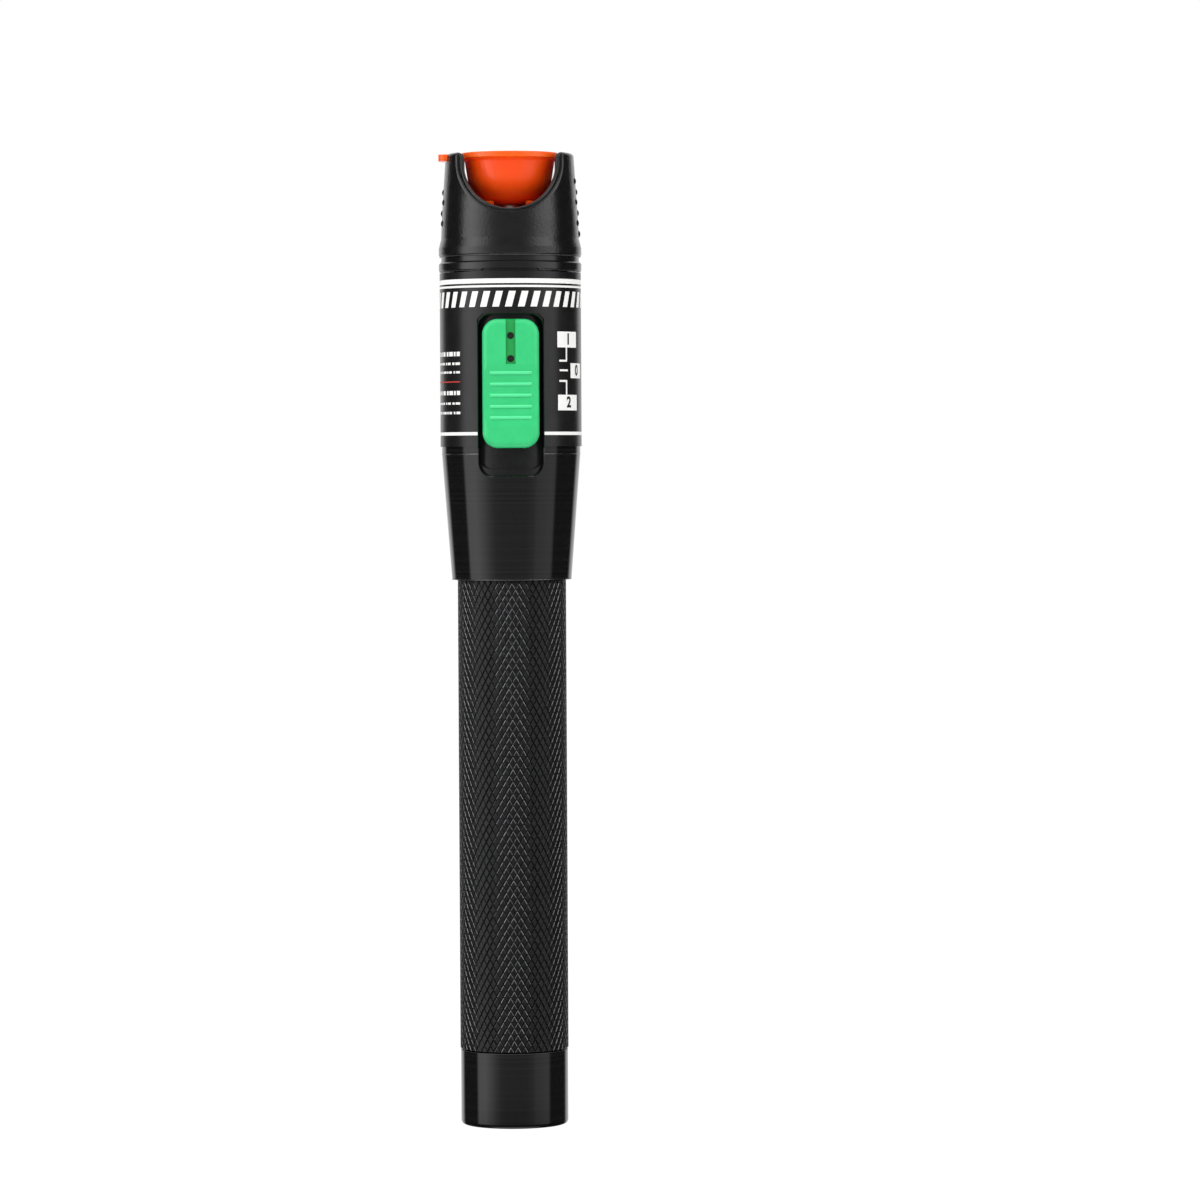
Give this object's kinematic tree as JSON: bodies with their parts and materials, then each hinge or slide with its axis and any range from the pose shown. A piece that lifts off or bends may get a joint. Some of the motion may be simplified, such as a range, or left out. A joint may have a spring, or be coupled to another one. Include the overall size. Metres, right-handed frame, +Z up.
{
  "type": "visual fault locator",
  "caption": "Pen-shaped red-light fibre tester: knurled battery handle, housing with a sliding thumb button, guard crown and dust cap over the ferrule port.",
  "frame": {"origin": "centre of the flat tail face", "axes": "+Z runs up the pen to its port, and -Y is the front, where the slide switch is"},
  "size_m": [0.0264, 0.0274, 0.1792],
  "materials": {
    "black_anodised": "gloss",
    "label_film": "satin",
    "black_plastic": "matte",
    "guard_plastic": "satin",
    "green_plastic": "satin",
    "orange_rubber": "satin",
    "black_rubber": "matte",
    "steel": "satin",
    "brass": "satin",
    "nickel": "gloss",
    "ceramic": "satin",
    "lens_glass": "gloss",
    "board_green": "satin",
    "cell_can": "satin"
  },
  "bodies": {
    "body": {"body_housing": "black_anodised", "label_wrap": "label_film", "switch_bezel": "black_plastic", "switch_case": "steel", "switch_base": "black_plastic", "circuit_board": "board_green", "driver_chip": "black_plastic", "chip_parts": "ceramic", "contact_holder": "black_plastic", "ground_contact": "brass", "positive_contact": "brass", "module_holder": "black_plastic", "alignment_screws": "steel", "laser_barrel": "brass", "laser_diode": "nickel", "focus_lens": "lens_glass", "lens_retainer": "brass", "port_tube": "nickel", "ferrule_sleeve": "ceramic", "port_nut": "nickel", "guard": "guard_plastic", "cap_cradle": "orange_rubber"},
    "switch": {"slide_button": "green_plastic", "slide_carrier": "black_plastic", "switch_lever": "black_plastic"},
    "cap": {"dust_cap": "orange_rubber"},
    "cells": {"battery_rear": "cell_can", "battery_front": "cell_can"},
    "handle": {"handle_tube": "black_anodised", "tail_spring": "steel", "seal_ring": "black_rubber"}
  },
  "joints": [
    {"name": "switch_slide", "type": "slide", "parent": "body", "child": "switch", "axis": [0, 0, -1], "range_m": [0, 0.004]},
    {"name": "cap_pull", "type": "slide", "parent": "body", "child": "cap", "axis": [0, 0, 1], "range_m": [0, 0.035]},
    {"name": "handle_travel", "type": "slide", "parent": "body", "child": "cells", "axis": [0, 0, -1], "range_m": [0, 0.0075]},
    {"name": "handle_turn", "type": "hinge", "parent": "cells", "child": "handle", "pos_m": [0, 0, 0], "axis": [0, 0, -1], "range_deg": [0, 1800]}
  ],
  "couplings": [
    {"joint": "handle_turn", "follows": "handle_travel", "rad_per_m": 4188.8}
  ]
}
